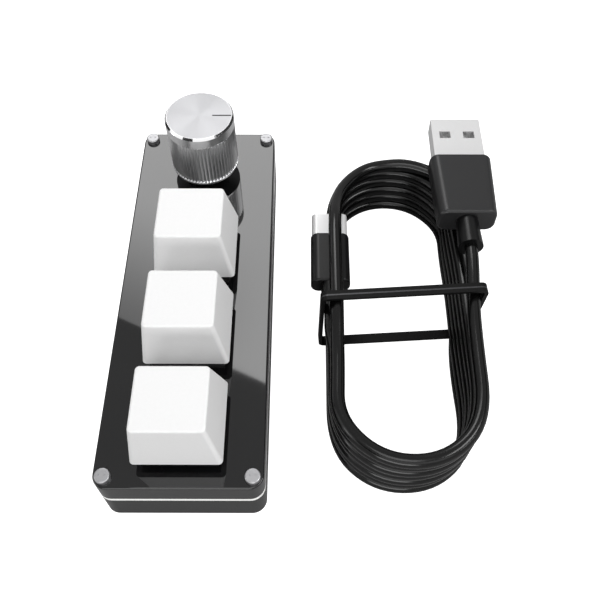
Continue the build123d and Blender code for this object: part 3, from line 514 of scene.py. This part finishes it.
# %% The lead's skin
lead_finish = grained_finish(
    "pvc_black", "#070707", {"IOR": 1.5, "Roughness": 0.18},
    ["cable_hank", "cable_lead_a", "cable_lead_c"],
    grains_per_mm=1.2, strength=0.12, depth=0.05,
)
lead.data.materials.append(lead_finish)

# %% The plugs and the tie
# The big plug's grip is drawn lighter than the lead's other black rubber: painted light, standing
# for the light on its level top.
grained_finish(
    "moulded_tpe_black_painted_light", "#272728", {"IOR": 1.5, "Roughness": 0.35}, ["usb_a_grip"],
    grains_per_mm=2.2, strength=0.15, depth=0.04,
)
grained_finish(
    "moulded_tpe_black", "#0a0a0b", {"IOR": 1.4, "Roughness": 0.3},
    ["usb_a_relief", "usb_c_grip", "usb_c_relief"],
    grains_per_mm=2.2, strength=0.15, depth=0.04,
)
grained_finish(
    "pvc_matt_black", "#050505", {"Roughness": 0.5, "Specular IOR Level": 0.22}, ["cable_tie"],
    grains_per_mm=1.5, strength=0.12, depth=0.04,
)

# %% [markdown]
# ## Light
#
# The cover is a black mirror, so its look is made by what it reflects. A bright screen high
# behind the keypad fills the far part of the mirror and ends in a straight edge across the
# case. The rest of the light is even: a grey-white world and four broad panels, one above, one
# on either side and one low in front for the walls that face forwards.

# %% The world
world_strength = 0.42
world = bpy.data.worlds.new("studio")
world.use_nodes = True
background = world.node_tree.nodes["Background"]
background.inputs["Color"].default_value = linear("#ffffff")
background.inputs["Strength"].default_value = world_strength
bpy.context.scene.world = world
bpy.context.scene.view_settings.view_transform = "Standard"
print("the world shines at", world_strength, "of white")

# %% [markdown]
# ### The floor
#
# The floor is a wide card. It is grey for the light that falls on it, so that it doesn't throw
# too much back at the case. The camera alone sees it lifted to white.

# %% White card
floor_half_width = 3.0
floor_grey, floor_lift = 0.4, 1.2
floor_mesh = bmesh.new()
bmesh.ops.create_grid(floor_mesh, x_segments=1, y_segments=1, size=floor_half_width)
floor_data = bpy.data.meshes.new("floor")
floor_mesh.to_mesh(floor_data)
floor_mesh.free()
floor = bpy.data.objects.new("floor", floor_data)
bpy.context.scene.collection.objects.link(floor)
floor_finish, tree, surface = new_finish(
    "white_card",
    {
        "Base Color": (floor_grey, floor_grey, floor_grey, 1),
        "Roughness": 1.0,
        "Specular IOR Level": 0.0,
        "Emission Color": linear("#ffffff"),
    },
)
seen = add_node(tree, "ShaderNodeLightPath")
lift = add_node(
    tree, "ShaderNodeMath", {1: floor_lift}, {0: seen.outputs["Is Camera Ray"]},
    operation="MULTIPLY",
)
tree.links.new(lift.outputs["Value"], surface.inputs["Emission Strength"])
floor.data.materials.append(floor_finish)
print("the floor is", 2 * floor_half_width, "m wide")

# %% [markdown]
# ### The screen
#
# The screen is a flat sheet that shines. Its near edge is turned 26 degrees off the case's width
# and draws the straight line across the cover. The sheet is dimmer along the left of that edge,
# and so is the part of the cover that mirrors it. An area lamp is equally bright all over, so it
# couldn't do this, but a sheet with a material can.

# %% Helpers for sheets that shine


def shining_finish(name, strength):
    """A finish that only shines: itself, its tree and the node that shines."""
    material = bpy.data.materials.new(name)
    material.use_nodes = True
    tree = material.node_tree
    tree.nodes.remove(tree.nodes["Principled BSDF"])
    glow = add_node(tree, "ShaderNodeEmission", {"Strength": strength})
    tree.links.new(glow.outputs["Emission"], tree.nodes["Material Output"].inputs["Surface"])
    return material, tree, glow


def flat_sheet(name, corners, material):
    """A flat sheet of the stage, from its corners in millimetres in the order round its edge."""
    sheet_mesh = bmesh.new()
    sheet_mesh.faces.new([sheet_mesh.verts.new(Vector(corner) * MM) for corner in corners])
    data = bpy.data.meshes.new(name)
    sheet_mesh.to_mesh(data)
    sheet_mesh.free()
    data.materials.append(material)
    sheet = bpy.data.objects.new(name, data)
    bpy.context.scene.collection.objects.link(sheet)
    print(name, "has", len(corners), "corners")
    return sheet


# %% The screen's sheet, in millimetres
screen_strength, screen_height = 4.15, 500
screen_left_x, screen_left_y = -285, 354
screen_finish, tree, glow = shining_finish("light_screen", screen_strength)
flat_sheet(
    "screen",
    [
        (-150, 660, screen_height),
        (22, 660, screen_height),
        (22, 203.5, screen_height),
        (screen_left_x, screen_left_y, screen_height),
    ],
    screen_finish,
)

# %% The screen is dimmer along the left of its near edge
screen_turn = radians(26.1)
near_edge = screen_left_x * MM * sin(screen_turn) + screen_left_y * MM * cos(screen_turn)
# The dimming is full at the near edge and gone 150 mm behind it. Towards the left it starts at
# 125 mm and is full at 255 mm.
fade_back = (near_edge - 20 * MM, near_edge + 150 * MM)
fade_left = (-125 * MM, -255 * MM)
most_dimming = 0.6
place = add_node(tree, "ShaderNodeTexCoord").outputs["Object"]
turned = add_node(
    tree, "ShaderNodeVectorRotate", {"Angle": screen_turn}, {"Vector": place},
    rotation_type="Z_AXIS",
)
spot = add_node(tree, "ShaderNodeSeparateXYZ", None, {"Vector": turned.outputs["Vector"]})
from_edge = add_node(
    tree, "ShaderNodeMapRange",
    {"From Min": fade_back[0], "From Max": fade_back[1], "To Min": 1.0, "To Max": 0.0},
    {"Value": spot.outputs["Y"]},
    interpolation_type="SMOOTHSTEP",
)
to_left = add_node(
    tree, "ShaderNodeMapRange",
    {"From Min": fade_left[0], "From Max": fade_left[1], "To Min": 0.0, "To Max": most_dimming},
    {"Value": spot.outputs["X"]},
    interpolation_type="SMOOTHSTEP",
)
dimming = add_node(
    tree, "ShaderNodeMath", None,
    {0: from_edge.outputs["Result"], 1: to_left.outputs["Result"]},
    operation="MULTIPLY",
)
strength = add_node(
    tree, "ShaderNodeMapRange",
    {"From Min": 0.0, "From Max": 1.0, "To Min": screen_strength, "To Max": 0.0},
    {"Value": dimming.outputs["Value"]},
)
tree.links.new(strength.outputs["Result"], glow.inputs["Strength"])
print("the screen shines at", screen_strength, "and is dimmed by up to", most_dimming)

# %% [markdown]
# ### The panels
#
# Four soft boxes give the even light. Each is an area lamp aimed at the middle of the case, and
# the one on the right is the strongest and shapes the caps. Brightness is given as a white card's
# in the lamp's place, because a lamp's watts would have to change with every change of its size.

# %% The panels: name, location, width and depth in millimetres, and brightness
for name, location, width, depth, brightness in (
    ("side_panel", (700, -150, 700), 500, 500, 5.8),
    ("left_panel", (-800, -200, 200), 400, 260, 2.0),
    ("front_panel", (-150, -900, 220), 700, 300, 3.4),
    ("top_panel", (0, -250, 900), 420, 420, 2.15),
):
    panel_data = bpy.data.lights.new(name, "AREA")
    panel_data.shape = "RECTANGLE"
    panel_data.size, panel_data.size_y = width * MM, depth * MM
    panel_data.energy = brightness * pi * width * depth * MM * MM
    panel = bpy.data.objects.new(name, panel_data)
    panel.rotation_euler = (-Vector(location)).to_track_quat("-Z", "Y").to_euler()
    panel.location = Vector(location) * MM
    bpy.context.scene.collection.objects.link(panel)

# %% [markdown]
# ### The boards
#
# A sharp mirror such as the knob's diamond-cut rim needs something to mirror. Two white boards
# whiten it, and three black cards draw the short dark marks on it. Only mirrors see these boards,
# so they neither light the object nor cast a shadow.

# %% The boards: name, brightness and corners in millimetres
boards = [
    ("front_board", 1.1,
     [(-860, -700, 420), (860, -700, 420), (860, -700, 950), (-860, -700, 950)]),
    ("left_board", 1.1,
     [(-900, -700, 200), (-900, 120, 200), (-900, 120, 500), (-900, -700, 900)]),
    ("front_card", 0.0,
     [(-390, -260, 240), (-190, -440, 240), (-190, -440, 440), (-390, -260, 440)]),
    ("left_card", 0.0,
     [(-600, 110, 0), (-600, 700, 0), (-600, 700, 120), (-600, 110, 260)]),
    ("right_card", 0.0,
     [(600, -379, 500), (600, 130, 220), (600, 678, 30),
      (600, 678, 250), (600, 130, 440), (600, -379, 780)]),
]
for name, brightness, corners in boards:
    board = flat_sheet(name, corners, shining_finish(name, brightness)[0])
    board.visible_camera = board.visible_diffuse = board.visible_shadow = False

# %% [markdown]
# ## Last step
#
# The view layer is brought up to date.

# %% Bring the view layer up to date
bpy.context.view_layer.update()
